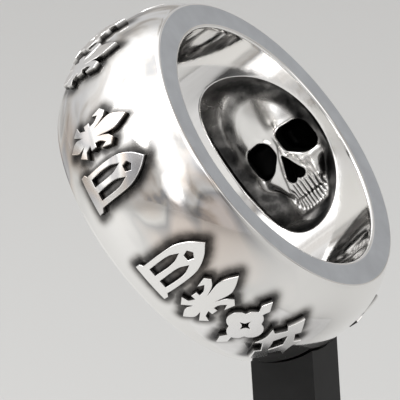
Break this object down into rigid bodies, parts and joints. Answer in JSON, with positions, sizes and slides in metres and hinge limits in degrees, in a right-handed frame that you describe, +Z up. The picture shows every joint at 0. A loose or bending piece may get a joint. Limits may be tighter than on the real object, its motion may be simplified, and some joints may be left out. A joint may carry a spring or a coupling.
{
  "type": "skull band ring on a post stand",
  "caption": "Heavy domed band ring with raised ornament and a skull carved into its bore, held tilted on a square post with a foot plate.",
  "frame": {"origin": "on the surface it stands on, under the middle of the foot plate and of the post", "axes": "+Z up; +X and +Y along the stand's square sides; the bore's axis runs along +X tilted 35 degrees up, and the skull lies in the bore's +Y wall with its crown up"},
  "size_m": [0.0303, 0.03, 0.0476],
  "materials": {
    "silver": "cast silver, polished, with darkened recesses",
    "stand_paint": "matte dark grey paint",
    "foot_paint": "matte pale grey paint"
  },
  "bodies": {
    "root": {"skull_band_ring": "silver", "stand_post": "stand_paint", "stand_foot": "foot_paint"}
  },
  "joints": []
}
